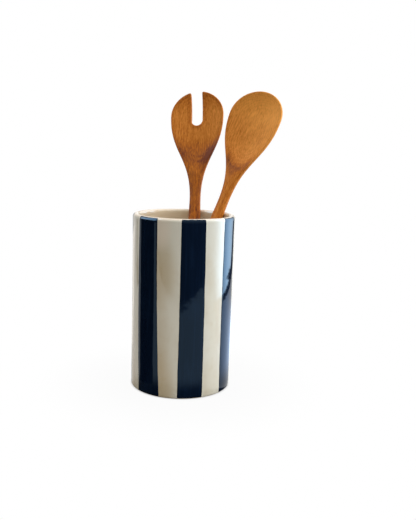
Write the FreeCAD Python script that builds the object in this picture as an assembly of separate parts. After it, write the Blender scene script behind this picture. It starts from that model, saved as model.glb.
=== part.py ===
import FreeCAD, Part
import math
import os

# A striped stoneware utensil crock with a slotted wooden fork and a wooden spoon standing in it.
# Lengths are in millimetres and angles in degrees. The crock stands on z = 0 about the Z axis with its
# front towards -Y. An angle round the crock is measured from the front towards +X.

# Crock
crock_diameter = 102.0
crock_height = 177.0
wall_thickness = 6.0
floor_thickness = 8.0
inner_corner_radius = 6.0
foot_rounding = 2.0

# Navy stripes, painted on and fired into the glaze
stripe_count = 7
stripe_width = 23.3
stripe_depth = 0.4
first_stripe_angle = 11.2
stripe_rim_gap = 0.4
stripe_foot_gap = 0.7

# Wooden servers: a fork and a spoon carved to one pattern
fork_length = 314.4
spoon_length = 319.4
fork_head_width = 59.0
spoon_head_width = 64.4
head_tip_length = 27.7
head_flare_length = 97.4
shoulder_pull = 42.0
neck_pull = 50.0
neck_width = 11.9
handle_end_width = 22.0
handle_thickness = 7.0
handle_edge_thickness = 3.4
head_thickness = 5.0
head_edge_thickness = 3.4
head_rise = 5.0
fork_dish_depth = 6.0
spoon_dish_depth = 8.0
hollow_start = 28.0
hollow_run = 42.0
edge_rounding = 1.3
largest_rounding_share = 0.45

# Slot that divides the fork's head into two tines
slot_width = 12.6
slot_depth = 37.2
slot_offset = 1.2
tine_corner_radius = 2.0

# How the servers stand: each end on the floor inside the wall, each handle against the rim
clearance = 0.3
fork_end_angle = 17.2
fork_end_inset = 16.4
fork_rim_angle = 163.6
fork_turn = -16.4
spoon_end_angle = -54.6
spoon_end_inset = 9.2
spoon_rim_angle = 118.3
spoon_turn = -40.7

# Fineness of the carved surfaces and of the search for a resting place
length_stations = 41
width_stations = 9
surface_margin = 4.0
contact_step = 2.0
end_steps = 12
face_steps = 4
width_rounds = 40
rest_rounds = 12
same_place = 0.001

# Sizes that follow
outer_radius = crock_diameter / 2
inner_radius = outer_radius - wall_thickness
rim_radius = wall_thickness / 2
thinnest_edge = min(handle_edge_thickness, head_edge_thickness)
rounding = min(edge_rounding, largest_rounding_share * thinnest_edge)
quarter_turn = math.pi / 2
quarter_pull = 4 * (math.sqrt(2) - 1) / 3


def vec(x, y, z=0.0):
    return FreeCAD.Vector(x, y, z)


def polar(radius, angle, z):
    """Point at an angle round the crock from its front."""
    turn = math.radians(angle)
    return vec(radius * math.sin(turn), -radius * math.cos(turn), z)


def smooth(x):
    """Soft step from 0 to 1."""
    x = min(max(x, 0.0), 1.0)
    return x * x * (3 - 2 * x)


def line(start, end):
    return Part.LineSegment(start, end).toShape()


def arc(centre, radius, first, last):
    """Arc in the XZ plane about a centre, between two angles in radians."""
    points = []
    for angle in (first, (first + last) / 2, last):
        points.append(centre + vec(radius * math.cos(angle), 0, radius * math.sin(angle)))
    return Part.Arc(*points).toShape()


def bezier(poles):
    curve = Part.BezierCurve()
    curve.setPoles(poles)
    return curve


def face_of(edges):
    return Part.Face(Part.Wire(Part.__sortEdges__(edges)))


def turned(edges, start_angle, sweep_angle):
    """Solid of a profile in the XZ plane turned about Z, from an angle round the crock."""
    face = face_of(edges)
    face.rotate(vec(0, 0), vec(0, 0, 1), start_angle - 90)
    return face.revolve(vec(0, 0), vec(0, 0, 1), sweep_angle)


# Crock and stripes
foot_centre = vec(outer_radius - foot_rounding, 0, foot_rounding)
rim_centre = vec(outer_radius - rim_radius, 0, crock_height - rim_radius)
corner_centre = vec(inner_radius - inner_corner_radius, 0, floor_thickness + inner_corner_radius)


def crock_shell():
    """The whole pot, turned from a bare place between two stripes: flat foot, straight wall, fully rounded
    rim and a rounded inner corner."""
    edges = [
        line(vec(0, 0), vec(foot_centre.x, 0)),
        arc(foot_centre, foot_rounding, -quarter_turn, 0),
        line(vec(outer_radius, 0, foot_centre.z), vec(outer_radius, 0, rim_centre.z)),
        arc(rim_centre, rim_radius, 0, 2 * quarter_turn),
        line(vec(inner_radius, 0, rim_centre.z), vec(inner_radius, 0, corner_centre.z)),
        arc(corner_centre, inner_corner_radius, 0, -quarter_turn),
        line(vec(corner_centre.x, 0, floor_thickness), vec(0, 0, floor_thickness)),
        line(vec(0, 0, floor_thickness), vec(0, 0)),
    ]
    bare_angle = first_stripe_angle + 180 / stripe_count
    return turned(edges, bare_angle, 360)


def stripe_band(index, outward):
    """One stripe, from the floor of its pocket to a height above the pot's face."""
    top = math.asin(1 - stripe_rim_gap / rim_radius)
    bottom = -math.asin(1 - stripe_foot_gap / foot_rounding)
    edges = []
    tops = []
    bottoms = []
    for offset in (outward, -stripe_depth):
        face_x = outer_radius + offset
        rim_arc = arc(rim_centre, rim_radius + offset, 0, top)
        foot_arc = arc(foot_centre, foot_rounding + offset, bottom, 0)
        wall_line = line(vec(face_x, 0, foot_centre.z), vec(face_x, 0, rim_centre.z))
        edges += [rim_arc, foot_arc, wall_line]
        tops.append(rim_arc.lastVertex(True).Point)
        bottoms.append(foot_arc.firstVertex(True).Point)
    edges += [line(*tops), line(*bottoms)]
    width_angle = math.degrees(stripe_width / outer_radius)
    middle_angle = first_stripe_angle + index * 360 / stripe_count
    return turned(edges, middle_angle - width_angle / 2, width_angle)


def room(point):
    """Distance from a point in the pot to the nearest of its floor, inner corner, wall and rim."""
    radius = math.hypot(point.x, point.y)
    if point.z > rim_centre.z:
        return math.hypot(radius - rim_centre.x, point.z - rim_centre.z) - rim_radius
    reach = radius - corner_centre.x
    drop = corner_centre.z - point.z
    if reach > 0 and drop > 0:
        return inner_corner_radius - math.hypot(reach, drop)
    return min(inner_radius - radius, point.z - floor_thickness)


class Server:
    """A wooden server. Along it, s runs from the handle's end to the tip, u runs across and v stands out
    from the hollow face, with the handle's middle plane at v = 0."""

    def __init__(self, length, head_width, dish_depth):
        self.length = length
        self.half_head = head_width / 2
        self.dish_depth = dish_depth
        self.widest = length - head_tip_length
        self.neck = self.widest - head_flare_length
        self.end_radius = handle_end_width / 2
        run = self.neck - self.end_radius
        lean = math.acos(self.end_radius / math.hypot(run, neck_width / 2)) + math.atan2(neck_width / 2, run)
        self.side_angle = math.pi - lean
        self.slope = 1 / math.tan(self.side_angle)
        taper_x = self.end_radius * (1 - math.cos(self.side_angle))
        self.taper_start = vec(taper_x, self.end_radius * math.sin(self.side_angle))
        self.flare_poles = [
            vec(self.neck, neck_width / 2),
            vec(self.neck + neck_pull, neck_width / 2 + self.slope * neck_pull),
            vec(self.widest - shoulder_pull, self.half_head),
            vec(self.widest, self.half_head),
        ]
        self.flare = bezier(self.flare_poles)

    def half_width(self, s):
        """Half of the pattern's width, with the straight taper run on past the round end."""
        if s >= self.widest:
            return self.half_head
        if s <= self.neck:
            return neck_width / 2 + self.slope * (s - self.neck)
        low, high = 0.0, 1.0
        for _ in range(width_rounds):
            middle = (low + high) / 2
            if self.flare.value(middle).x < s:
                low = middle
            else:
                high = middle
        return self.flare.value(low).y

    def spread(self, s, u):
        """0 along the middle of the server and 1 on its outline."""
        beyond = max(0.0, s - self.widest) / head_tip_length
        return (u / self.half_width(s)) ** 2 + beyond ** 2

    def thickness(self, s, u):
        head = smooth((s - self.neck) / head_flare_length)
        middle = handle_thickness + (head_thickness - handle_thickness) * head
        edge = handle_edge_thickness + (head_edge_thickness - handle_edge_thickness) * head
        return middle - (middle - edge) * self.spread(s, u)

    def middle_surface(self, s, u):
        """Height of the middle of the wood: flat along the handle, with a hollow sunk in the head."""
        rise = head_rise * smooth((s - self.neck) / (self.length - self.neck))
        dish = self.dish_depth * smooth((s - self.neck - hollow_start) / hollow_run)
        return rise - dish * (1 - self.spread(s, u))

    def outline(self):
        """Flat pattern: round end, tapered handle, flared shoulders and a rounded tip."""
        tip_poles = [
            vec(self.widest, self.half_head),
            vec(self.widest + quarter_pull * head_tip_length, self.half_head),
            vec(self.length, quarter_pull * self.half_head),
            vec(self.length, 0),
        ]
        edges = []
        ends = []
        for side in (1, -1):
            start = vec(self.taper_start.x, side * self.taper_start.y)
            ends.append(start)
            edges.append(line(start, vec(self.neck, side * neck_width / 2)))
            for poles in (self.flare_poles, tip_poles):
                edges.append(bezier([vec(pole.x, side * pole.y) for pole in poles]).toShape())
        edges.append(Part.Arc(ends[0], vec(0, 0), ends[1]).toShape())
        return face_of(edges)

    def blank(self):
        """Flat pattern sawn from a board thick enough for the dished head."""
        board = 2 * (self.dish_depth + head_rise + handle_thickness)
        return self.outline().extrude(vec(0, 0, board)).translated(vec(0, 0, -board / 2))

    def space_above(self, sign, height):
        """Solid that fills everything above the upper (1) or lower (-1) surface of the wood."""
        rows = []
        for i in range(length_stations):
            s = -surface_margin + (self.length + 2 * surface_margin) * i / (length_stations - 1)
            reach = self.half_width(s) + surface_margin
            row = []
            for j in range(width_stations):
                u = reach * (2 * j / (width_stations - 1) - 1)
                row.append(vec(s, u, self.middle_surface(s, u) + sign * self.thickness(s, u) / 2))
            rows.append(row)
        surface = Part.BSplineSurface()
        surface.interpolate(rows)
        return surface.toShape().extrude(vec(0, 0, height))

    def carved(self, blank):
        """Blank cut to the upper and lower surfaces, with its edges rounded over."""
        height = blank.BoundBox.ZLength
        wood = blank.common(self.space_above(-1, height)).cut(self.space_above(1, height)).Solids[0]
        rim = []
        for edge in wood.Edges:
            run = edge.lastVertex().Point - edge.firstVertex().Point
            if math.hypot(run.x, run.y) > same_place:
                rim.append(edge)
        return wood.makeFillet(rounding, rim).Solids[0]

    def handle_points(self):
        """Points all over the handle, from its rounded end to where it has passed the rim of the pot."""
        edge = []
        for k in range(end_steps):
            angle = self.side_angle * k / end_steps
            inward = vec(math.cos(angle), -math.sin(angle))
            edge.append((vec(self.end_radius, 0) - inward * self.end_radius, inward))
        s = self.taper_start.x
        while s < self.neck + neck_pull:
            edge.append((vec(s, self.half_width(s)), vec(0, -1)))
            s += contact_step
        points = []
        for place, inward in edge:
            if inward.x == 0:
                points.append(vec(place.x, place.y, self.thickness(place.x, place.y) / 2))
            for step in range(face_steps + 1):
                tilt = quarter_turn * step / face_steps
                inner = place + inward * rounding * (1 - math.cos(tilt))
                height = self.thickness(inner.x, inner.y) / 2 - rounding * (1 - math.sin(tilt))
                points.append(vec(inner.x, inner.y, height))
            flat = place + inward * rounding
            for step in range(face_steps):
                u = flat.y * step / face_steps
                points.append(vec(flat.x, u, self.thickness(flat.x, u) / 2))
        mirrored = []
        for point in points:
            for side in (-1, 1):
                for face in (-1, 1):
                    mirrored.append(vec(point.x, side * point.y, face * point.z))
        return mirrored

    def stand(self, end_angle, end_inset, rim_angle, turn):
        """Finds the placement at which the end rests on the floor and the handle against the rim."""
        end_height = floor_thickness + handle_thickness
        rim_reach = inner_radius - handle_thickness
        turn = math.radians(turn)
        touching = self.handle_points()
        for _ in range(rest_rounds):
            end = polar(inner_radius - end_inset, end_angle, end_height)
            along = (polar(rim_reach, rim_angle, rim_centre.z) - end).normalize()
            front = vec(0, -1) - along * along.dot(vec(0, -1))
            front.normalize()
            face = front * math.cos(turn) + along.cross(front) * math.sin(turn)
            across = face.cross(along)
            frame = FreeCAD.Matrix(
                along.x, across.x, face.x, end.x,
                along.y, across.y, face.y, end.y,
                along.z, across.z, face.z, end.z,
                0, 0, 0, 1,
            )
            rooms_below = []
            rooms_above = []
            for local in touching:
                point = frame.multVec(local)
                (rooms_above if point.z > crock_height / 2 else rooms_below).append(room(point))
            end_height += clearance - min(rooms_below)
            rim_reach += min(rooms_above) - clearance
        return FreeCAD.Placement(frame)


def fork_blank(server):
    """Server's blank with its slot sawn in and the corners of the two tines rounded."""
    slot_end = server.length - slot_depth + slot_width / 2
    board = server.blank()
    low, height = board.BoundBox.ZMin, board.BoundBox.ZLength
    slot = Part.makeBox(slot_depth, slot_width, height, vec(slot_end, slot_offset - slot_width / 2, low))
    slot = slot.fuse(Part.makeCylinder(slot_width / 2, height, vec(slot_end, slot_offset, low)))
    board = board.cut(slot.removeSplitter())
    tips = []
    for edge in board.Edges:
        start, end = edge.firstVertex().Point, edge.lastVertex().Point
        upright = math.hypot(end.x - start.x, end.y - start.y) < same_place
        beside_slot = abs(abs(start.y - slot_offset) - slot_width / 2) < same_place
        if upright and beside_slot and start.x > server.widest:
            tips.append(edge)
    return board.makeFillet(tine_corner_radius, tips)


def save(name, shape):
    shape.exportStep("parts/" + name + ".step")
    print(name, "valid", shape.isValid(), "solids", len(shape.Solids), "volume %.1f" % shape.Volume)


os.makedirs("parts", exist_ok=True)

body = crock_shell()
for index in range(stripe_count):
    body = body.cut(stripe_band(index, stripe_depth))
    save("navy_stripe_%d" % (index + 1), stripe_band(index, 0.0))
save("crock_body", body)

fork = Server(fork_length, fork_head_width, fork_dish_depth)
fork_place = fork.stand(fork_end_angle, fork_end_inset, fork_rim_angle, fork_turn)
fork_wood = fork.carved(fork_blank(fork))
fork_wood.Placement = fork_place
save("salad_fork", fork_wood)

spoon = Server(spoon_length, spoon_head_width, spoon_dish_depth)
spoon_place = spoon.stand(spoon_end_angle, spoon_end_inset, spoon_rim_angle, spoon_turn)
spoon_wood = spoon.carved(spoon.blank())
spoon_wood.Placement = spoon_place
save("salad_spoon", spoon_wood)
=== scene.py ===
import math
from bisect import bisect

import bmesh
import bpy
from bpy.props import FloatProperty, FloatVectorProperty, PointerProperty
from mathutils import Matrix, Vector, geometry, noise
from mathutils.kdtree import KDTree


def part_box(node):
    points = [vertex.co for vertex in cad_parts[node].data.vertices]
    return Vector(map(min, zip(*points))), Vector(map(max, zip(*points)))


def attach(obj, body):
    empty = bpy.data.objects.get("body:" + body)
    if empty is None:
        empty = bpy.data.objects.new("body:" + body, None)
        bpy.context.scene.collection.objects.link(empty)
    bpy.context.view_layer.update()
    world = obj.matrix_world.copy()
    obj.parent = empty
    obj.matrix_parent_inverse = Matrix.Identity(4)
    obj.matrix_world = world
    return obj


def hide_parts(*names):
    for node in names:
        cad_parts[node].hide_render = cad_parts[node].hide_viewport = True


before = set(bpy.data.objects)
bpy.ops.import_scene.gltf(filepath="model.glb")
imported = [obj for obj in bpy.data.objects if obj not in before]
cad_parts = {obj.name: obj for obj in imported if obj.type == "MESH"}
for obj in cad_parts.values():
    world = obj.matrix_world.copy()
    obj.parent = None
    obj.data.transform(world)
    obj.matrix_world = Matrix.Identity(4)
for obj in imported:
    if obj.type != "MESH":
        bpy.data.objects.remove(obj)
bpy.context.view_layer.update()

bl_info = {
    "name": "Striped Utensil Crock",
    "version": (1, 0, 0),
    "blender": (4, 5, 0),
    "location": "View3D > Sidebar > Crock",
    "description": "A hand-painted stoneware crock with a wooden salad fork and spoon standing in it",
    "category": "Add Mesh",
}

# Lengths are in metres. The crock stands on z = 0 about the Z axis with its front towards -Y, and an angle
# round it is measured from the front towards +X.

MM = 0.001
QUARTER = math.pi / 2
crock_low, crock_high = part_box("crock_body")
stripe_nodes = sorted(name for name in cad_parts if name.startswith("navy_stripe"))


def size(label, description, mm):
    return FloatProperty(name=label, description=description, default=mm * MM, unit="LENGTH", precision=5)


def colour(label, description, *default):
    return FloatVectorProperty(
        name=label, description=description, default=default, subtype="COLOR", min=0.0, max=1.0
    )


def turn(label, description, degrees):
    return FloatProperty(name=label, description=description, default=math.radians(degrees), unit="ROTATION")


def level(label, description, default):
    return FloatProperty(name=label, description=description, default=default, min=0.0)


class CrockSettings(bpy.types.PropertyGroup):
    """Sizes and colours of the pot and its stripes"""

    diameter: size("Diameter", "Across the outside of the pot", (crock_high.x - crock_low.x) / MM)
    height: size("Height", "From the foot to the top of the rim", (crock_high.z - crock_low.z) / MM)
    wall: size("Wall", "Thickness of the wall", 6)
    floor: size("Floor", "Thickness of the floor", 8)
    corner: size("Inner Corner", "Radius between wall and floor inside", 6)
    foot: size("Foot Rounding", "Radius round the foot's edge", 2)
    unevenness: size("Unevenness", "How far the wall strays from true", 0.16)
    ripple: size("Ripple", "Height of small waves in the glaze", 0.018)
    flare: size("Flare", "How far the rim stands out past the foot", 0.4)
    lean: size("Lean", "How far the rim leans to the right", 0.45)
    swell: size("Swell", "How far the wall swells on the right", 0.5)
    stripe_width: size("Stripe Width", "Across a painted stripe", 23.3)
    stripe_lift: size("Stripe Lift", "How far the navy stands above the cream", 0.12)
    stripe_top: size("Stripe Top", "Bare rim left above a stripe", 0.25)
    stripe_bottom: size("Stripe Bottom", "Bare foot left below a stripe", 0.7)
    stripe_corner: size("Stripe Corner", "How far a stripe's upper corners are rounded", 0.9)
    first_stripe: turn("First Stripe", "Round the pot to the first stripe's middle", 11.2)
    cream: colour("Cream", "Glaze of the pot", 0.69, 0.66, 0.555)
    # Tan is also the painted shade in the low patches by the foot and the two patches left of the front.
    tan: colour("Tan", "Cream where it lies thin or warm", 0.52, 0.41, 0.245)
    # This pale colour is also painted light, in a patch just below the rim left of the front.
    pale_rim_and_painted_light: colour("Pale Rim", "Glaze along the rim's crest", 0.77, 0.675, 0.55)
    # Painted shade: the tan inside colour stands for the darker, warmer light down inside the pot.
    inside: colour("Inside", "Glaze down inside the pot", 0.67, 0.52, 0.33)
    navy: colour("Navy", "Glaze of the stripes", 0.0024, 0.0066, 0.018)
    thin_navy: colour("Thin Navy", "Navy where the brush left less of it", 0.005, 0.014, 0.036)
    clay: colour("Clay", "Bare fired clay of the foot", 0.46, 0.33, 0.21)


class ServerSettings(bpy.types.PropertyGroup):
    """Sizes and colours of the two wooden servers"""

    fork_length: size("Fork Length", "From the handle's end to the tines' tips", 314.4)
    spoon_length: size("Spoon Length", "From the handle's end to the bowl's tip", 319.4)
    fork_head: size("Fork Head", "Across the fork's head", 59)
    spoon_head: size("Spoon Head", "Across the spoon's head", 64.4)
    tip_length: size("Tip Length", "From a head's widest part to its tip", 27.7)
    flare_length: size("Flare Length", "From the neck to the head's widest part", 97.4)
    shoulder_pull: size("Shoulder Pull", "How far the head's fullness reaches down", 42)
    neck_pull: size("Neck Pull", "How far the neck's slimness reaches up", 50)
    neck_width: size("Neck Width", "Across the handle's slimmest part", 11.9)
    end_width: size("End Width", "Across the handle's round end", 22)
    handle_thickness: size("Handle Thickness", "Through the handle's middle", 7)
    head_thickness: size("Head Thickness", "Through the head's middle", 5)
    edge_thickness: size("Edge Thickness", "Through the edge all round", 3.4)
    edge_rounding: size("Edge Rounding", "Radius of the eased edges", 1.3)
    head_rise: size("Head Rise", "How far the tip stands forward", 5)
    fork_dish: size("Fork Dish", "Depth of the fork's hollow", 6)
    spoon_dish: size("Spoon Dish", "Depth of the spoon's hollow", 8)
    hollow_start: size("Hollow Start", "From the neck to the hollow", 28)
    hollow_run: size("Hollow Run", "Length over which the hollow sinks", 42)
    slot_width: size("Slot Width", "Across the slot between the tines", 12.6)
    slot_depth: size("Slot Depth", "From the fork's tip to the slot's bottom", 37.2)
    slot_offset: size("Slot Offset", "How far the slot lies off the middle", 1.2)
    tine_rounding: size("Tine Rounding", "Radius of the tines' inner corners", 1.4)
    fork_end_angle: turn("Fork End Angle", "Round the pot to the fork's end", 17.2)
    fork_end_reach: size("Fork End Reach", "From the axis to the fork's end", 28.6)
    fork_end_height: size("Fork End Height", "From the table to the fork's end", 9.217)
    fork_rim_angle: turn("Fork Rim Angle", "Round the pot to the fork at the rim", 163.6)
    fork_rim_reach: size("Fork Rim Reach", "From the axis to the fork at the rim", 40.85)
    fork_turn: turn("Fork Turn", "How far the fork is turned from the front", -16.4)
    spoon_end_angle: turn("Spoon End Angle", "Round the pot to the spoon's end", -54.6)
    spoon_end_reach: size("Spoon End Reach", "From the axis to the spoon's end", 35.8)
    spoon_end_height: size("Spoon End Height", "From the table to the spoon's end", 9.374)
    spoon_rim_angle: turn("Spoon Rim Angle", "Round the pot to the spoon at the rim", 118.3)
    spoon_rim_reach: size("Spoon Rim Reach", "From the axis to the spoon at the rim", 39.83)
    spoon_turn: turn("Spoon Turn", "How far the spoon is turned from the front", -40.7)
    light_wood: colour("Light Wood", "Palest streaks of the wood", 0.95, 0.405, 0.078)
    wood: colour("Wood", "Body colour of the wood", 0.50, 0.15, 0.015)
    dark_wood: colour("Dark Wood", "Pores and dark streaks of the wood", 0.165, 0.040, 0.013)


class StageSettings(bpy.types.PropertyGroup):
    """Light, floor and camera"""

    window: colour("Window", "Tint of the daylight from the right", 0.825, 0.895, 0.99)
    window_gloss: colour("Window Gloss", "Tint of the sky in the glaze", 0.52, 0.755, 1.0)
    window_strength: level("Window Strength", "Brightness of the daylight from the right", 3.85)
    gloss_strength: level("Gloss Strength", "Brightness of the sky in the glaze", 8.2)
    skylight: colour("Skylight", "Tint of the soft light from above", 1.0, 0.97, 0.93)
    skylight_strength: level("Skylight Strength", "Brightness of the soft light from above", 1.66)
    side_light: colour("Side Light", "Tint of the small high light on the left", 0.62, 0.80, 1.0)
    side_strength: level("Side Strength", "Brightness of the small high light", 9.0)
    backdrop: colour("Backdrop", "Pale wall behind the crock", 0.50, 0.49, 0.475)
    room: colour("Room", "Soft side of the room, behind the camera", 0.44, 0.41, 0.37)
    far_side: colour("Far Side", "Dim side of the room, on the left", 0.19, 0.178, 0.16)
    below: colour("Below", "Dim space below the board's edge", 0.04, 0.04, 0.04)
    floor: colour("Floor", "Pale board under the crock", 0.34, 0.335, 0.32)
    sheen: colour("Sheen", "Daylight on the right of the board, in the glaze", 0.59, 0.74, 1.0)
    sheen_strength: level("Sheen Strength", "Brightness of the daylight on the board", 2.6)
    glare_strength: level("Glare Strength", "Brightness of the glare on the board", 1.6)
    # Painted reflection: colour of a thin dark brown line that shows only in the glaze.
    mirrored_dark_line: colour("Joint", "Brown joint in the board, in the glaze", 0.03, 0.015, 0.01)
    shadow: level("Shadow", "How dark the floor's shadow looks", 0.045)
    lens: FloatProperty(name="Lens", description="Focal length", default=46.83, unit="CAMERA")
    camera_place: FloatVectorProperty(
        name="Camera Place", description="Where the camera stands", default=(0.0, -0.67873, 0.24911),
        subtype="TRANSLATION", unit="LENGTH",
    )
    camera_pitch: turn("Camera Pitch", "How far the camera looks down", 9.94)
    camera_yaw: turn("Camera Yaw", "How far the camera looks to the right", 2.18)
    camera_roll: turn("Camera Roll", "How far the picture is turned clockwise", 1.68)


def rgba(tint):
    """Value of a colour socket, or the link to it."""
    return tint if isinstance(tint, Shade) else (*tint, 1.0)


class Shade:
    """One output of a shader node. Arithmetic between shades and numbers adds Math nodes."""

    def __init__(self, tree, socket=None):
        self.tree = tree
        self.socket = socket

    def add(self, kind, settings=None, sockets=None, output=0):
        """Adds a node with its settings, then the values or links of its sockets, and gives an output."""
        node = self.tree.nodes.new(kind)
        for name, value in (settings or {}).items():
            if name == "stops":
                while len(node.color_ramp.elements) < len(value):
                    node.color_ramp.elements.new(1.0)
                for element, (place, tint) in zip(node.color_ramp.elements, value):
                    element.position = place
                    element.color = rgba(tint)
            else:
                setattr(node, name, value)
        for name, value in (sockets or {}).items():
            if isinstance(value, Shade):
                self.tree.links.new(value.socket, node.inputs[name])
            else:
                node.inputs[name].default_value = value
        return Shade(self.tree, None if output is None else node.outputs[output])

    def math(self, operation, *values):
        return self.add("ShaderNodeMath", {"operation": operation}, dict(enumerate(values)))

    def __add__(self, other):
        return self.math("ADD", self, other)

    def __sub__(self, other):
        return self.math("SUBTRACT", self, other)

    def __rsub__(self, other):
        return self.math("SUBTRACT", other, self)

    def __mul__(self, other):
        return self.math("MULTIPLY", self, other)

    def __truediv__(self, other):
        return self.math("DIVIDE", self, other)

    def __rtruediv__(self, other):
        return self.math("DIVIDE", other, self)

    __radd__ = __add__
    __rmul__ = __mul__

    def step(self, start, end):
        """0 before start, 1 after end and smooth between; start may be the greater."""
        ends = {"Value": self, "From Min": start, "From Max": end}
        return self.add("ShaderNodeMapRange", {"interpolation_type": "SMOOTHSTEP"}, ends)

    def stretched(self, *factors):
        """A vector with each of its three parts multiplied."""
        return self.add("ShaderNodeVectorMath", {"operation": "MULTIPLY"}, {0: self, 1: factors})

    def moved(self, *offset):
        return self.add("ShaderNodeVectorMath", {"operation": "ADD"}, {0: self, 1: offset})

    def length(self):
        return self.add("ShaderNodeVectorMath", {"operation": "LENGTH"}, {0: self}, "Value")

    def part(self, axis):
        return self.add("ShaderNodeSeparateXYZ", None, {0: self}, axis)

    def noise(self, scale, detail=2.0, roughness=0.5):
        """Cloudy value from 0 to 1 at a vector."""
        sockets = {"Vector": self, "Scale": scale, "Detail": detail, "Roughness": roughness}
        return self.add("ShaderNodeTexNoise", None, sockets)

    def mixed(self, first, second):
        """Blend of two colours, with this shade as the share of the second."""
        colours = {0: self, 6: rgba(first), 7: rgba(second)}
        return self.add("ShaderNodeMix", {"data_type": "RGBA"}, colours, 2)

    def coordinates(self, space="Object"):
        return self.add("ShaderNodeTexCoord", None, None, space)

    def ray(self, kind):
        """1 for rays of one kind and 0 for the others."""
        return self.add("ShaderNodeLightPath", None, None, "Is %s Ray" % kind)

    def shown(self):
        """1 for what the camera sees, straight or in a glossy or clear surface, and 0 for light."""
        camera, glossy, clear = (self.ray(kind) for kind in ("Camera", "Glossy", "Transmission"))
        return self.math("MAXIMUM", self.math("MAXIMUM", camera, glossy), clear)

    def bump(self, strength, distance):
        sockets = {"Strength": strength, "Distance": distance, "Height": self}
        return self.add("ShaderNodeBump", None, sockets, "Normal")


def new_material(name):
    material = bpy.data.materials.new(name)
    material.use_nodes = True
    material.node_tree.nodes.clear()
    return material, Shade(material.node_tree)


def link_output(start, surface, kind="ShaderNodeOutputMaterial"):
    start.add(kind, None, {"Surface": surface}, None)


def lit(tint, strength):
    """Colour of a light of some strength."""
    return tuple(part * strength for part in tint)


def glow(start, tint):
    """Surface that gives off light of a colour."""
    return start.add("ShaderNodeEmission", None, {"Color": rgba(tint), "Strength": 1.0})


def glaze_surface(start, place, tint, roughness, marks, sockets=None):
    """Glossy glaze over a colour, with slow waves, small ripples and finer marks in its surface."""
    waves = place.noise(210, 2.0) * 0.6
    ripples = place.noise(620, 1.0) * 0.05
    surface = start.add("ShaderNodeBsdfPrincipled", None, {
        "Base Color": tint,
        "Roughness": roughness,
        "IOR": 1.5,
        "Normal": (waves + ripples + marks).bump(0.15, 0.35 * MM),
        **(sockets or {}),
    })
    link_output(start, surface)


# Patches in the cream glaze: angle and height of the middle, half the width and height, in degrees and
# millimetres, and strength. The warm ones lie on the wall: the three low ones by the foot and the two
# higher ones left of the front are painted shade, and the two round the back are warmer. The pale one,
# just below the rim, is painted light.
painted_light_patch = (-25, 168, 14, 22, 0.9)
warm_and_shaded_patches = [
    (-28, 127, 22, 38, 0.74),
    (-23, 6, 18, 46, 0.72),
    (-25, 60, 13, 42, 0.38),
    (36, 8, 17, 30, 0.16),
    (-72, 10, 11, 40, 0.70),
    (140, 95, 14, 50, 0.60),
    (-122, 60, 13, 55, 0.60),
]


def cream_glaze(crock):
    """Glossy cream glaze, warmer where it runs thin over the rim and in drifts on the wall; painted shade
    darkens it down inside.
    """
    material, start = new_material("cream_glaze")
    place = start.coordinates()
    height = place.part("Z")
    radius = place.stretched(1, 1, 0).length()
    drift = place.stretched(1, 1, 0.45).noise(46, 3.0, 0.55)
    cloud = place.noise(150, 3.0)
    grain = place.noise(1400, 2.0)
    rim_radius = crock.wall / 2
    outer = crock.diameter / 2
    inside = radius.step(outer - rim_radius, outer - crock.wall) * height.step(crock.floor / 2, crock.floor)
    rim_line = height + cloud * (2.2 * MM)
    thin = rim_line.step(crock.height - 1.2 * MM, crock.height + 0.9 * MM)
    foot_line = height + cloud * (0.7 * MM)
    bare = foot_line.step(1.5 * MM, 1.1 * MM)
    around = place.math("ARCTAN2", place.part("X"), place.part("Y") * -1)
    settled = height.step(crock.height * 0.97, crock.height * 0.8)
    warmth_and_shade = (drift.step(0.42, 0.72) * 0.22 + cloud.step(0.45, 0.8) * 0.12) * settled
    warmth_and_shade = warmth_and_shade + height.step(crock.height * 0.88, crock.height * 0.5) * 0.12

    def patch(angle, middle, wide, tall, strength):
        sideways = (around - math.radians(angle)) / math.radians(wide)
        upright = (height - middle * MM) / (tall * MM)
        spread = sideways * sideways + upright * upright + (drift - 0.5) * 0.5
        return spread.step(1.4, -0.3) * strength

    # Painted shade in the low patches by the foot and the two left of the front; the two at the back are
    # warmer.
    for warm_shaded_patch in warm_and_shaded_patches:
        warmth_and_shade = warmth_and_shade + patch(*warm_shaded_patch)
    tint = warmth_and_shade.mixed(crock.cream, crock.tan)
    # Painted light: a pale patch just below the rim, left of the front.
    tint = patch(*painted_light_patch).mixed(tint, crock.pale_rim_and_painted_light)
    # Painted shade: the glaze down inside turns to the darker tan inside colour.
    tint = (inside * 0.8).mixed(tint, crock.inside)
    tint = thin.mixed(tint, crock.pale_rim_and_painted_light)
    tint = bare.mixed(tint, (grain * 0.3).mixed(crock.clay, crock.tan))
    roughness = 0.035 + cloud * 0.04 + bare * 0.6
    glaze_surface(start, place, tint, roughness, bare * grain * 0.5)
    return material


def navy_glaze(crock):
    """Deep navy glaze laid on with a brush in upright strokes, with a cool bloom in its gloss."""
    material, start = new_material("navy_glaze")
    place = start.coordinates()
    stroke = place.stretched(1, 1, 0.04).noise(420, 3.0, 0.6)
    pool = place.stretched(1, 1, 0.5).noise(70, 2.0)
    cloud = place.noise(150, 3.0)
    thinness = stroke.step(0.45, 0.75) * 0.5 + pool.step(0.5, 0.8) * 0.4
    tint = thinness.mixed(crock.navy, crock.thin_navy)
    cool_gloss = {"Specular IOR Level": 0.28, "Specular Tint": (0.47, 0.75, 1.0, 1.0)}
    glaze_surface(start, place, tint, 0.03 + cloud * 0.04, stroke * 0.05, cool_gloss)
    return material


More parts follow.
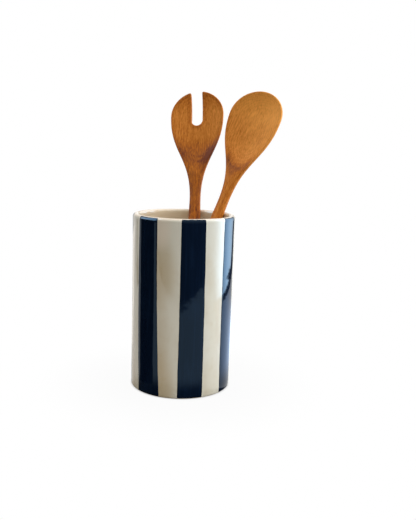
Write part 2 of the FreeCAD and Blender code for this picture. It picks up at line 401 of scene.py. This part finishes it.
def oiled_wood(name, servers, offset, paleness):
    """Oiled hardwood: fibres run along the server, and its darkness attribute darkens it, partly with
    painted shade and painted light.
    """
    material, start = new_material(name)
    place = start.add("ShaderNodeAttribute", {"attribute_name": "grain"}, None, "Vector").moved(*offset)
    darkness = start.add("ShaderNodeAttribute", {"attribute_name": "darkness"}, None, "Fac")

    def figure(along, across, detail=2.0, roughness=0.5):
        return place.stretched(along, across, across).noise(1.0, detail, roughness)

    fibre = figure(60, 1100, 3.0, 0.6)
    fleck = figure(190, 900, 2.0, 0.6)
    streak = figure(12, 320)
    pores = figure(330, 1150, 1.0).step(0.54, 0.74)
    tone = figure(26, 70)
    sway = figure(14, 60)
    layer = place.part("Z") * 7000 + place.part("Y") * 260 + sway * 16
    rings = layer.math("SINE", layer)
    value = paleness + (fibre - 0.5) * 0.44 + (fleck - 0.5) * 0.75 + (streak - 0.5) * 0.04
    value = value + (tone - 0.5) * 0.22 + rings * 0.045 - pores * 0.18 - darkness
    woods = [(0.064, servers.dark_wood), (0.4, servers.wood), (0.96, servers.light_wood)]
    tint = start.add("ShaderNodeValToRGB", {"stops": woods}, {"Fac": value * 0.8})
    surface = start.add("ShaderNodeBsdfPrincipled", None, {
        "Base Color": tint,
        "Roughness": 0.44 + fibre * 0.16 + pores * 0.1,
        "IOR": 1.46,
        "Specular IOR Level": 0.13,
        "Normal": (fibre - pores * 0.7).bump(0.16, 0.25 * MM),
    })
    link_output(start, surface)
    return material


def pale_floor(stage):
    """Matt pale board. It shows as the white background, and it keeps the crock's shadow."""
    material, start = new_material("pale_floor")
    place = start.coordinates()
    away = place.length()
    soft_shadow = away.step(0.16, 0.05) * stage.shadow
    foot_shadow = away.step(0.0525, 0.050) * 0.3
    near = soft_shadow + foot_shadow
    # Painted shadow: glossy rays see the board black close in front of the pot.
    in_front = place.part("Y").step(0.01, -0.03)
    painted_contact_shadow = start.ray("Glossy") * away.step(0.118, 0.070) * in_front * 0.97
    board_tint = painted_contact_shadow.mixed(stage.floor, (0, 0, 0))
    board = start.add("ShaderNodeBsdfDiffuse", None, {"Color": board_tint})
    share = start.shown() * (1 - near) * (1 - painted_contact_shadow)
    white = glow(start, (1, 1, 1))
    surface = start.add("ShaderNodeMixShader", None, {0: share, 1: board, 2: white})
    link_output(start, surface)
    return material


def smooth(x):
    """Soft step from 0 to 1."""
    x = min(max(x, 0.0), 1.0)
    return x * x * (3 - 2 * x)


def bell(x, spread):
    """1 at 0, falling away softly on both sides."""
    return math.exp(-(x / spread) ** 2)


def round_point(radius, angle, height):
    return Vector((radius * math.sin(angle), -radius * math.cos(angle), height))


def new_object(name, points, faces, material):
    mesh = bpy.data.meshes.new(name)
    mesh.from_pydata(points, [], faces)
    mesh.materials.append(material)
    made = bpy.data.objects.new(name, mesh)
    bpy.context.scene.collection.objects.link(made)
    return made


def make_piece(name, points, faces, material, body, nodes):
    """Smooth mesh that stands for CAD nodes, rides on a body and takes its finish from a slot."""
    piece = new_object(name, points, faces, material)
    built = bmesh.new()
    built.from_mesh(piece.data)
    bmesh.ops.recalc_face_normals(built, faces=built.faces)
    built.to_mesh(piece.data)
    built.free()
    piece.data.shade_smooth()
    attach(piece, body)
    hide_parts(*nodes)
    return piece


def closed_faces(front_faces, under, border):
    """Front faces, the same on the back, whose points follow the front's, and a band along the border."""
    faces = front_faces + [[under + k for k in reversed(face)] for face in front_faces]
    return faces + [(b, a, under + a, under + b) for a, b in zip(border, border[1:] + border[:1])]


class Pot:
    """Section of the pot, as one path from the foot's edge up the outside, over the rim and down inside."""

    # The foot is true, and the wall has its full unevenness from this height up.
    true_foot = 7 * MM

    def __init__(self, crock):
        self.crock = crock
        self.outer = crock.diameter / 2
        self.inner = self.outer - crock.wall
        self.rim = crock.wall / 2
        self.runs = [
            QUARTER * crock.foot,
            crock.height - self.rim - crock.foot,
            math.pi * self.rim,
            crock.height - self.rim - crock.floor - crock.corner,
            QUARTER * crock.corner,
            self.inner - crock.corner,
        ]

    def section(self, travel):
        """Radius, height and the tilt of the outward direction at a distance along the path."""
        crock = self.crock
        foot, side, over, down, corner = self.runs[:-1]

        def rounded(radius, height, tilt):
            return self.outer - radius + radius * math.cos(tilt), height + radius * math.sin(tilt), tilt

        if travel < foot:
            return rounded(crock.foot, crock.foot, travel / crock.foot - QUARTER)
        travel -= foot
        if travel < side:
            return self.outer, crock.foot + travel, 0.0
        travel -= side
        if travel < over:
            return rounded(self.rim, crock.height - self.rim, travel / self.rim)
        travel -= over
        if travel < down:
            return self.inner, crock.height - self.rim - travel, math.pi
        travel -= down
        if travel < corner:
            turned = travel / crock.corner
            centre = self.inner - crock.corner
            height = crock.floor + crock.corner * (1 - math.sin(turned))
            return centre + crock.corner * math.cos(turned), height, math.pi - turned
        travel -= corner
        return max(0.0, self.inner - crock.corner - travel), crock.floor, QUARTER

    def unevenness(self, point, tilt):
        """How far the hand-made surface stands out of true at a point, with throwing rings inside."""
        crock = self.crock
        slow = noise.noise(point / (34 * MM) + Vector((3.1, 7.7, 1.3)))
        lumps = noise.noise(point / (15 * MM) + Vector((9.2, 0.4, 5.8)))
        waves = noise.noise(point / (6.5 * MM) + Vector((2.6, 4.9, 8.1)))
        rings = 0.0
        if tilt > math.pi - 0.01:
            rings = 0.5 * math.sin(point.z / (1.05 * MM) + 2.5 * slow)
        above_foot = smooth(point.z / self.true_foot)
        return above_foot * (crock.unevenness * (slow + 0.3 * lumps + rings) + crock.ripple * waves)

    def surface(self, angle, travel, lift=0.0):
        """Point of the glazed surface, raised by a lift."""
        radius, height, tilt = self.section(travel)
        proud = self.unevenness(round_point(radius, angle, height), tilt) + lift
        risen = height / self.crock.height
        swell = self.crock.swell * (1 + math.sin(angle)) / 2 * smooth(height / self.true_foot)
        radius += proud * math.cos(tilt) + (self.crock.flare * risen + swell) * radius / self.outer
        leaning = Vector((self.crock.lean * risen, 0.0, 0.0))
        return round_point(radius, angle, height + proud * math.sin(tilt)) + leaning


class CROCK_OT_pot(bpy.types.Operator):
    """Throws the pot: a straight-sided cylinder with a rounded rim and a flat foot"""

    bl_idname = "crock.pot"
    bl_label = "Pot"

    def execute(self, context):
        crock = context.scene.crock_settings
        pot = Pot(crock)
        around = 288
        steps = (5, 118, 18, 60, 6, 8)
        travels = [0.0]
        for length, count in zip(pot.runs, steps):
            start = travels[-1]
            travels += [start + length * (k + 1) / count for k in range(count)]
        foot_rings = [0.25, 0.5, 0.75, 0.9]
        foot_edge = pot.outer - crock.foot
        angles = [math.tau * k / around for k in range(around)]
        points = [Vector((0, 0, 0))]
        for share in foot_rings:
            points += [round_point(foot_edge * share, angle, 0.0) for angle in angles]
        for travel in travels[:-1]:
            points += [pot.surface(angle, travel) for angle in angles]
        points.append(pot.surface(0.0, travels[-1]))
        rings = len(foot_rings) + len(travels) - 1
        faces = []
        for k in range(around):
            after = (k + 1) % around
            faces.append((0, 1 + after, 1 + k))
            for ring in range(rings - 1):
                low = 1 + ring * around
                faces.append((low + k, low + after, low + around + after, low + around + k))
            top = 1 + (rings - 1) * around
            faces.append((top + k, top + after, len(points) - 1))
        glaze = cream_glaze(crock)
        make_piece("glazed_pot", points, faces, glaze, "crock", ["crock_body"])
        return {"FINISHED"}


# How far each hand-painted edge strays from its true line, in degrees at the top, middle and bottom:
# first the left edge of a stripe and then its right edge, in the order that the stripes go round.
painted_sway = [
    ((-0.6, -0.6, -1.2), (-0.2, 0.8, 0.9)),
    ((0.3, -0.4, 0.3), (0.1, 0.0, 0.4)),
    ((-0.6, 0.3, 0.9), (0.2, -0.5, 0.4)),
    ((0.4, -0.4, -0.9), (0.9, 0.2, -0.6)),
    ((0.0, 0.7, 0.3), (-0.7, 0.1, 0.8)),
    ((-0.8, -0.2, 0.5), (0.3, 0.8, 0.0)),
    ((-3.2, -3.8, -1.3), (-1.8, -0.6, 3.5)),
]


class CROCK_OT_stripes(bpy.types.Operator):
    """Paints the upright stripes as thin layers of navy glaze with hand-painted edges"""

    bl_idname = "crock.stripes"
    bl_label = "Stripes"

    def execute(self, context):
        crock = context.scene.crock_settings
        pot = Pot(crock)
        material = navy_glaze(crock)
        for index, node in enumerate(stripe_nodes):
            self.paint(pot, index, node, material)
        return {"FINISHED"}

    def paint(self, pot, index, node, material):
        """One stripe. Its border dips under the cream and comes up through it along the painted edge."""
        crock = pot.crock
        middle = crock.first_stripe + index * math.tau / len(stripe_nodes)
        rows, columns = 122, 26
        feather, end_feather, corner_share = 0.04, 0.0042, 0.07
        dip, depth = 0.6, 2.5
        sunk_share = 0.416 * feather
        half = crock.stripe_width / crock.diameter / (1 - 2 * sunk_share)
        start = crock.foot * math.acos(1 - crock.stripe_bottom / crock.foot)
        end = pot.runs[0] + pot.runs[1] + pot.rim * math.asin(1 - crock.stripe_top / pot.rim)

        def shares(border, margin, count):
            """Shares from 0 to 1, close together in both borders and even between the margins."""
            between = [margin + (1 - 2 * margin) * k / count for k in range(count + 1)]
            return border + between + [1 - share for share in reversed(border)]

        along = shares([0.0, 0.0012, 0.0024], end_feather, rows)
        across = shares([0.0, 0.01, 0.02], feather, columns)

        def edge(side, share):
            top, centre, bottom = painted_sway[index % len(painted_sway)][side]
            down = 1 - share
            sway = top * (1 - down) * (1 - 2 * down)
            sway += centre * 4 * down * (1 - down)
            sway += bottom * down * (2 * down - 1)
            brush = noise.noise(Vector((share * 9, index * 3.7, side * 5.1))) * 0.32
            brush += noise.noise(Vector((share * 34, index * 1.9, side * 2.3))) * 0.10
            return middle + (2 * side - 1) * half + math.radians(sway + brush)

        front = []
        back = []
        for share in along:
            left, right = edge(0, share), edge(1, share)
            for place in across:
                angle = left + (right - left) * place
                loose = noise.noise(Vector((place * 5, index * 2.3, 0.7))) * 0.55 * MM
                corner = max(0.0, 1 - min(place, 1 - place) / corner_share)
                travel = start + (end + loose - crock.stripe_corner * corner ** 2 - start) * share
                inset = min(place, 1 - place) / feather
                raised = smooth(inset) * smooth(min(share, 1 - share) / end_feather)
                front.append(pot.surface(angle, travel, crock.stripe_lift * ((1 + dip) * raised - dip)))
                back.append(pot.surface(angle, travel, -depth * crock.stripe_lift))
        wide = len(across)
        count = len(front)
        front_faces = []
        for first in range(0, count - wide, wide):
            for a in range(first, first + wide - 1):
                front_faces.append((a, a + 1, a + wide + 1, a + wide))
        border = [*range(wide), *range(2 * wide - 1, count, wide)]
        border += [*range(count - 2, count - wide - 1, -1), *range(count - 2 * wide, 0, -wide)]
        faces = closed_faces(front_faces, count, border)
        name = "painted_stripe_%d" % (index + 1)
        make_piece(name, front + back, faces, material, "crock", [node])


class Server:
    """Pattern of a wooden server. s runs from the handle's end to the tip, and u across."""

    # How much darker the wood is on the handle, in a crescent at the low end of the hollow, at the tip,
    # towards one side and in a line inside the edge. Less than 0 is paler. The crescent is painted shade,
    # the change from side to side is painted light and shade, and the spoon's paler tip is painted light.
    handle_depth = 0.20
    low_end = 38 * MM
    crescent_shade_depth = 0.38
    tip_reach = 52 * MM
    tip_depth = -0.29
    side_shade_depth = 0.14
    line_depth = 0.10

    def __init__(self, servers, length, head, dish):
        self.servers = servers
        self.length = length
        self.half_head = head / 2
        self.dish = dish
        self.widest = length - servers.tip_length
        self.neck = self.widest - servers.flare_length
        self.end = servers.end_width / 2
        half_neck = servers.neck_width / 2
        run = self.neck - self.end
        lean = math.acos(self.end / math.hypot(run, half_neck)) + math.atan2(half_neck, run)
        self.side_angle = math.pi - lean
        self.slope = 1 / math.tan(self.side_angle)
        self.flare = self.curve([
            Vector((self.neck, half_neck)),
            Vector((self.neck + servers.neck_pull, half_neck + self.slope * servers.neck_pull)),
            Vector((self.widest - servers.shoulder_pull, self.half_head)),
            Vector((self.widest, self.half_head)),
        ])
        pull = 4 * (math.sqrt(2) - 1) / 3
        self.tip = self.curve([
            Vector((self.widest, self.half_head)),
            Vector((self.widest + pull * servers.tip_length, self.half_head)),
            Vector((length, pull * self.half_head)),
            Vector((length, 0.0)),
        ])
        self.flare_reach = [point.x for point in self.flare]

    @staticmethod
    def curve(poles, steps=240):
        """Points along a cubic curve."""
        a, b, c, d = poles
        shares = [k / steps for k in range(steps + 1)]
        return [
            a * (1 - t) ** 3 + b * (3 * t * (1 - t) ** 2) + c * (3 * t * t * (1 - t)) + d * t ** 3
            for t in shares
        ]

    def half_width(self, s):
        if s >= self.widest:
            return self.half_head
        if s <= self.neck:
            return self.servers.neck_width / 2 + self.slope * (s - self.neck)
        after = bisect(self.flare_reach, s)
        low, high = self.flare[after - 1], self.flare[after]
        return low.y + (high.y - low.y) * (s - low.x) / (high.x - low.x)

    def spread(self, s, u):
        """0 along the middle of the server and 1 on its outline."""
        beyond = max(0.0, s - self.widest) / self.servers.tip_length
        return (u / self.half_width(s)) ** 2 + beyond ** 2

    def thickness(self, s, u):
        servers = self.servers
        head = smooth((s - self.neck) / servers.flare_length)
        middle = servers.handle_thickness + (servers.head_thickness - servers.handle_thickness) * head
        return middle - (middle - servers.edge_thickness) * min(1.0, self.spread(s, u))

    def middle_surface(self, s, u):
        """Height of the middle of the wood: flat along the handle, with a hollow sunk in the head."""
        servers = self.servers
        rise = servers.head_rise * smooth((s - self.neck) / (self.length - self.neck))
        dish = self.dish * smooth((s - self.neck - servers.hollow_start) / servers.hollow_run)
        return rise - dish * (1 - self.spread(s, u))

    def darkness(self, s, u, gap):
        """How much darker the wood is at a place whose gap to the outline is given."""
        beyond = s - self.neck
        line = self.line_depth * bell(gap - 2.2 * MM, 1.5 * MM)
        # Painted light and shade: darker towards one side of the server.
        side = self.side_shade_depth * u / self.half_head
        handle = self.handle_depth * (1 - smooth((beyond - 14 * MM) / (60 * MM)))
        # Painted shade: a dark crescent where the hollow ends at its low end.
        low_end = beyond - self.low_end - u * u / (18 * MM)
        arms = 1 - smooth((abs(u) - 11 * MM) / (10 * MM))
        crescent_shade = self.crescent_shade_depth * arms * bell(low_end, 6.5 * MM)
        # For the spoon this is painted light: its tip is paler.
        tip = self.tip_depth * smooth((s - self.length + self.tip_reach) / (0.9 * self.tip_reach))
        return line + side + handle + crescent_shade + tip

    def side(self):
        """Half of the outline, from the middle of the handle's end to the middle of the tip."""
        round_steps, handle_steps = 24, 240
        angles = [self.side_angle * k / round_steps for k in range(round_steps)]
        points = [Vector((1 - math.cos(angle), math.sin(angle))) * self.end for angle in angles]
        taper = self.end * (1 - math.cos(self.side_angle))
        reaches = [taper + (self.neck - taper) * k / handle_steps for k in range(handle_steps)]
        points += [Vector((s, self.half_width(s))) for s in reaches]
        return points + self.flare[:-1] + self.tip

    def outline(self):
        """Whole outline of a spoon, once round."""
        half = self.side()
        return half + [Vector((p.x, -p.y)) for p in reversed(half[1:-1])]


class ForkPattern(Server):
    """Pattern of the fork: a slot with a round bottom divides the head into two tines."""

    handle_depth = 0.30
    low_end = 45 * MM
    crescent_shade_depth = 0.13
    tip_reach = 26 * MM
    tip_depth = 0.14
    side_shade_depth = 0.05
    line_depth = 0.18
    band_depth = 0.29
    spoon_shadow_depth = 0.44

    def darkness(self, s, u, gap):
        """Adds a band across the low end of the head, and a slanting painted shadow of the spoon along its
        lower right edge.
        """
        beyond = s - self.neck
        band = self.band_depth * bell(beyond - 59 * MM, 13 * MM)
        # Painted shadow of the spoon, slanting along the fork's lower right edge.
        upward = beyond - 51 * MM
        outward = -u - 13.5 * MM
        along = 0.86 * upward + 0.51 * outward
        across = 0.86 * outward - 0.51 * upward
        spoon_shadow = self.spoon_shadow_depth * bell(along, 13 * MM) * bell(across, 4.2 * MM)
        return super().darkness(s, u, gap) + band + spoon_shadow

    def slot_edge(self, side):
        return self.servers.slot_offset + side * self.servers.slot_width / 2

    def tine_corner(self, side):
        """Rounded corner of one tine, from the outer curve to the edge of the slot."""
        radius = self.servers.tine_rounding
        wall = self.slot_edge(side) + side * radius
        tip = [Vector((p.x, side * p.y)) for p in self.tip]
        for k in range(1, len(tip)):
            run = (tip[k] - tip[k - 1]).normalized()
            inward = Vector((-abs(run.y), -side * abs(run.x)))
            centre = tip[k] + inward * radius
            if side * (centre.y - wall) <= 0:
                break
        first = math.atan2(-inward.y, -inward.x)
        last = -side * QUARTER
        steps = 12
        angles = [first + (last - first) * step / steps for step in range(steps + 1)]
        return tip[:k], [centre + Vector((math.cos(angle), math.sin(angle))) * radius for angle in angles]

    def outline(self):
        servers = self.servers
        half = self.side()[:-len(self.tip)]
        bottom = self.length - servers.slot_depth + servers.slot_width / 2
        left_tip, left_arc = self.tine_corner(1)
        right_tip, right_arc = self.tine_corner(-1)
        wall_steps, round_steps = 60, 48

        def wall(start, end, u):
            return [Vector((start + (end - start) * k / wall_steps, u)) for k in range(1, wall_steps)]

        points = half + left_tip + left_arc + wall(left_arc[-1].x, bottom, left_arc[-1].y)
        for k in range(round_steps + 1):
            angle = QUARTER + math.pi * k / round_steps
            outward = Vector((math.cos(angle), math.sin(angle)))
            points.append(Vector((bottom, servers.slot_offset)) + outward * (servers.slot_width / 2))
        points += wall(bottom, right_arc[-1].x, right_arc[-1].y)
        points += [*reversed(right_arc), *reversed(right_tip)]
        return points + [Vector((p.x, -p.y)) for p in reversed(half[1:])]


def evenly(points, step):
    """Points spaced evenly round a closed line."""
    closed = points + points[:1]
    lengths = [(b - a).length for a, b in zip(closed, closed[1:])]
    count = round(sum(lengths) / step)
    gap = sum(lengths) / count
    result = []
    travelled, k = 0.0, 0
    for number in range(count):
        target = number * gap
        while travelled + lengths[k] < target:
            travelled += lengths[k]
            k += 1
        share = (target - travelled) / lengths[k]
        result.append(closed[k].lerp(closed[k + 1], share))
    return result


def carve(name, pattern, place, material, body, node):
    """Carves one server: eased edges all round its outline, and smooth faces between them."""
    servers = pattern.servers
    rounding = servers.edge_rounding
    outline_step, spacing = 0.9 * MM, 1.9 * MM
    outline = evenly(pattern.outline(), outline_step)
    count = len(outline)
    inward = []
    for k in range(count):
        run = (outline[(k + 1) % count] - outline[k - 1]).normalized()
        inward.append(Vector((run.y, -run.x)))
    flat = []
    heights = []
    rounds = 6
    for step in range(rounds):
        tilt = QUARTER * step / (rounds - 1)
        for point, direction in zip(outline, inward):
            moved = point + direction * rounding * (1 - math.cos(tilt))
            flat.append(moved)
            heights.append(pattern.thickness(*moved) / 2 - rounding * (1 - math.sin(tilt)))
    tree = KDTree(count)
    for k, point in enumerate(outline):
        tree.insert(point.to_3d(), k)
    tree.balance()
    row = 0
    s = spacing
    while s < pattern.length:
        u = -pattern.half_head + (row % 2) * spacing / 2
        while u < pattern.half_head:
            point = Vector((s, u))
            _, nearest, gap = tree.find(point.to_3d())
            within = (point - outline[nearest]).dot(inward[nearest]) > 0
            if within and gap > rounding + 0.45 * spacing:
                flat.append(point)
                heights.append(pattern.thickness(s, u) / 2)
            u += spacing
        row += 1
        s += spacing * 0.866
    in_mm = [point * 1000 for point in flat]
    result = geometry.delaunay_2d_cdt(in_mm, [], [list(range(count))], 1, 1e-5)
    origin = [sources[0] for sources in result[3]]
    triangles = [[origin[k] for k in triangle] for triangle in result[2]]
    points = []
    darkness = []
    for sign in (1, -1):
        for (s, u), height in zip(flat, heights):
            grain = noise.noise(Vector((s / (22 * MM), u / (9 * MM), sign * 3.3))) * 0.07 * MM
            points.append(Vector((s, u, pattern.middle_surface(s, u) + sign * height + grain)))
            darkness.append(pattern.darkness(s, u, tree.find(Vector((s, u, 0.0)))[2]))
    faces = closed_faces(triangles, len(flat), list(range(count)))
    standing_points = [place @ point for point in points]
    piece = make_piece(name, standing_points, faces, material, body, [node])
    dark = piece.data.attributes.new("darkness", "FLOAT", "POINT")
    dark.data.foreach_set("value", darkness)
    grain = piece.data.attributes.new("grain", "FLOAT_VECTOR", "POINT")
    grain.data.foreach_set("vector", [part for point in points for part in point])


def standing(end, rim, turned):
    """Placement of a server from its handle's end, its place at the rim and its turn."""
    along = (rim - end).normalized()
    front = Vector((0, -1, 0))
    front = (front - along * along.dot(front)).normalized()
    face = front * math.cos(turned) + along.cross(front) * math.sin(turned)
    axes = Matrix((along, face.cross(along), face)).transposed().to_4x4()
    return Matrix.Translation(end) @ axes


class CROCK_OT_servers(bpy.types.Operator):
    """Carves the wooden fork and spoon and stands them in the pot"""

    bl_idname = "crock.servers"
    bl_label = "Servers"

    def execute(self, context):
        servers = context.scene.server_settings
        crock = context.scene.crock_settings
        rim_height = crock.height - crock.wall / 2
        for kind, pattern_class, grain_offset, paleness in (
            ("fork", ForkPattern, (0.31, 0.04, 0.012), 0.70),
            ("spoon", Server, (0.87, 0.19, 0.031), 0.805),
        ):
            def sizes(*names):
                return [getattr(servers, "%s_%s" % (kind, name)) for name in names]

            end = round_point(*sizes("end_reach", "end_angle", "end_height"))
            rim = round_point(*sizes("rim_reach", "rim_angle"), rim_height)
            pattern = pattern_class(servers, *sizes("length", "head", "dish"))
            place = standing(end, rim, *sizes("turn"))
            wood = oiled_wood(kind + "_wood", servers, grain_offset, paleness)
            carve("wooden_" + kind, pattern, place, wood, kind, "salad_" + kind)
        return {"FINISHED"}


class CROCK_OT_stage(bpy.types.Operator):
    """Sets up the pale floor, the daylight and the camera"""

    bl_idname = "crock.stage"
    bl_label = "Stage"

    def execute(self, context):
        stage = context.scene.stage_settings
        self.lay_floor(stage)
        self.set_reflections(stage)
        self.light(context.scene, stage)
        self.point_camera(context.scene, stage)
        context.scene.view_settings.view_transform = "Standard"
        return {"FINISHED"}

    def stage_mesh(self, name, corners, material):
        """One flat face of the floor or a card, made as its own object."""
        flat = new_object(name, corners, [range(len(corners))], material)
        return flat

    def lay_floor(self, stage):
        """Board with a straight front, and a right end that bends away towards the back."""
        edge = [
            (-1.6, 1.1), (-1.6, -0.75), (-0.55, -0.425), (0.36, -0.41), (0.43, -0.2),
            (0.425, 0.10), (0.41, 0.25), (0.375, 0.5), (0.30, 1.1),
        ]
        self.stage_mesh("floor", [(x, y, 0.0) for x, y in edge], pale_floor(stage))

    def only_in_gloss(self, name, corners, finish):
        """One flat face that shows only in the gloss of the glaze."""
        material, start = new_material(name)
        link_output(start, finish(start))
        card = self.stage_mesh(name, corners, material)
        for ray in ("camera", "diffuse", "transmission", "shadow"):
            setattr(card, "visible_" + ray, False)

    def set_reflections(self, stage):
        """Painted reflections that show only in the glaze: a black card left of the pot, and daylight, glare
        and a thin dark brown line on the board.
        """

        def black(start):
            return start.add("ShaderNodeBsdfDiffuse", None, {"Color": (0.004, 0.004, 0.004, 1.0)})

        def daylight(start):
            place = start.coordinates()
            x, y = place.part("X"), place.part("Y")
            share = x.step(0.05, 0.12) * y.step(-0.07, 0.03) * y.step(0.40, 0.10)
            return glow(start, share.mixed((1, 1, 1), lit(stage.sheen, stage.sheen_strength)))

        def glare(start):
            return glow(start, lit(stage.skylight, stage.glare_strength))

        def mirrored_dark_line(start):
            return glow(start, stage.mirrored_dark_line)

        def raised(corners, height):
            return [(x, y, height) for x, y in corners]

        # Painted dark reflection: a black card left of the pot that only the glaze shows.
        top = 0.175
        low_edge = raised([(-0.0717, -0.0218), (-0.0576, -0.0572)], 0.0)
        high_edge = raised([(-0.0584, -0.0552), (-0.0730, -0.0185)], top)
        self.only_in_gloss("black_card", low_edge + high_edge, black)
        lit_part = [(0.05, -0.07), (0.427, -0.07), (0.425, 0.10), (0.41, 0.25), (0.39, 0.40), (0.05, 0.40)]
        self.only_in_gloss("daylight_on_board", raised(lit_part, 0.3 * MM), daylight)
        wedge = [(-0.05, 0.05), (-0.05, 1.1), (-0.95, 1.1)]
        self.only_in_gloss("glare_on_board", raised(wedge, 0.2 * MM), glare)
        # Painted reflection: a thin dark brown line on the left of the board, shown only in the glaze.
        near, far = Vector((-0.464, 0.247)), Vector((-1.303, 0.979))
        side = Vector((near.y - far.y, far.x - near.x)).normalized()
        near_side, far_side = side * 0.033, side * 0.065
        strip = [near - near_side, near + near_side, far + far_side, far - far_side]
        self.only_in_gloss("brown_joint", raised(strip, 0.3 * MM), mirrored_dark_line)

    def light(self, scene, stage):
        """Room with a window on the right. Angles are in degrees, round from the front and up from level."""
        world = bpy.data.worlds.new("studio")
        scene.world = world
        world.use_nodes = True
        world.node_tree.nodes.clear()
        start = Shade(world.node_tree)
        way = start.coordinates("Generated")
        x, y, z = (way.part(axis) for axis in "XYZ")
        degree = math.degrees(1.0)
        turned = x.math("ARCTAN2", x, y * -1) * degree
        rise = z.math("ARCSINE", z) * degree

        def band(value, low, high, soft_low, soft_high):
            """1 between two angles in degrees, with soft edges."""
            lower = value.step(low - soft_low / 2, low + soft_low / 2)
            return lower * value.step(high + soft_high / 2, high - soft_high / 2)

        glossy = start.ray("Glossy")
        behind = y.step(-0.05, 0.35)
        horizon = rise.step(-2, 3)
        above = z.step(0.45, 0.9)
        dim_side = turned.step(-20, -75) * turned.step(-165, -125)
        high_light = glossy * band(turned, -118, -66, 10, 10) * band(rise, 10, 58, 6, 10)
        dark_strip = glossy * band(turned - rise * 1.2, 151, 161, 3, 4)
        sill = (turned - 107) * 0.058 - 12.5
        wide = band(turned, 52, 122, 36, 40)
        mirrored = band(turned, 85, 133, 36, 40)
        window = (wide + glossy * (mirrored - wide)) * rise.step(55, 41) * (rise - sill).step(-0.3, 0.3)
        under_window = behind * rise.step(8, 4) * (rise - sill).step(0.3, -0.3) * turned.step(60, 80)
        daylight = lit(stage.window, stage.window_strength)
        mirrored_daylight = lit(stage.window_gloss, stage.gloss_strength)
        sky = horizon.mixed(stage.below, stage.room)
        sky = behind.mixed(sky, stage.backdrop)
        sky = dim_side.mixed(sky, stage.far_side)
        sky = (start.shown() * behind).mixed(sky, (1, 1, 1))
        sky = under_window.mixed(sky, stage.below)
        sky = above.mixed(sky, lit(stage.skylight, stage.skylight_strength))
        sky = high_light.mixed(sky, lit(stage.side_light, stage.side_strength))
        sky = window.mixed(sky, glossy.mixed(daylight, mirrored_daylight))
        sky = dark_strip.mixed(sky, stage.below)
        background = start.ray("Camera").mixed(sky, (1, 1, 1))
        surface = start.add("ShaderNodeBackground", None, {"Color": background})
        link_output(start, surface, "ShaderNodeOutputWorld")

    def point_camera(self, scene, stage):
        lens = bpy.data.cameras.new("camera")
        lens.sensor_fit = "VERTICAL"
        lens.sensor_height = 36.0
        lens.lens = stage.lens
        camera = bpy.data.objects.new("camera", lens)
        scene.collection.objects.link(camera)
        pitch, yaw, roll = stage.camera_pitch, stage.camera_yaw, stage.camera_roll
        turned = Matrix.Rotation(-yaw, 4, "Z") @ Matrix.Rotation(QUARTER - pitch, 4, "X")
        camera.matrix_world = (
            Matrix.Translation(stage.camera_place) @ turned @ Matrix.Rotation(roll, 4, "Z")
        )
        scene.camera = camera


class CROCK_PT_panel(bpy.types.Panel):
    """Lists the settings and the steps that build the crock"""

    bl_idname = "CROCK_PT_panel"
    bl_label = "Striped Utensil Crock"
    bl_space_type = "VIEW_3D"
    bl_region_type = "UI"
    bl_category = "Crock"

    def draw(self, context):
        for operator in operators:
            self.layout.operator(operator.bl_idname)
        for name, group in settings.items():
            for part in group.__annotations__:
                self.layout.prop(getattr(context.scene, name), part)


settings = {
    "crock_settings": CrockSettings,
    "server_settings": ServerSettings,
    "stage_settings": StageSettings,
}
operators = (CROCK_OT_pot, CROCK_OT_stripes, CROCK_OT_servers, CROCK_OT_stage)
classes = (*settings.values(), *operators, CROCK_PT_panel)


def register():
    for item in classes:
        bpy.utils.register_class(item)
    for name, group in settings.items():
        setattr(bpy.types.Scene, name, PointerProperty(type=group))


def unregister():
    for name in settings:
        delattr(bpy.types.Scene, name)
    for item in reversed(classes):
        bpy.utils.unregister_class(item)


def main():
    register()
    bpy.ops.crock.pot()
    bpy.ops.crock.stripes()
    bpy.ops.crock.servers()
    bpy.ops.crock.stage()


if __name__ == "__main__":
    main()
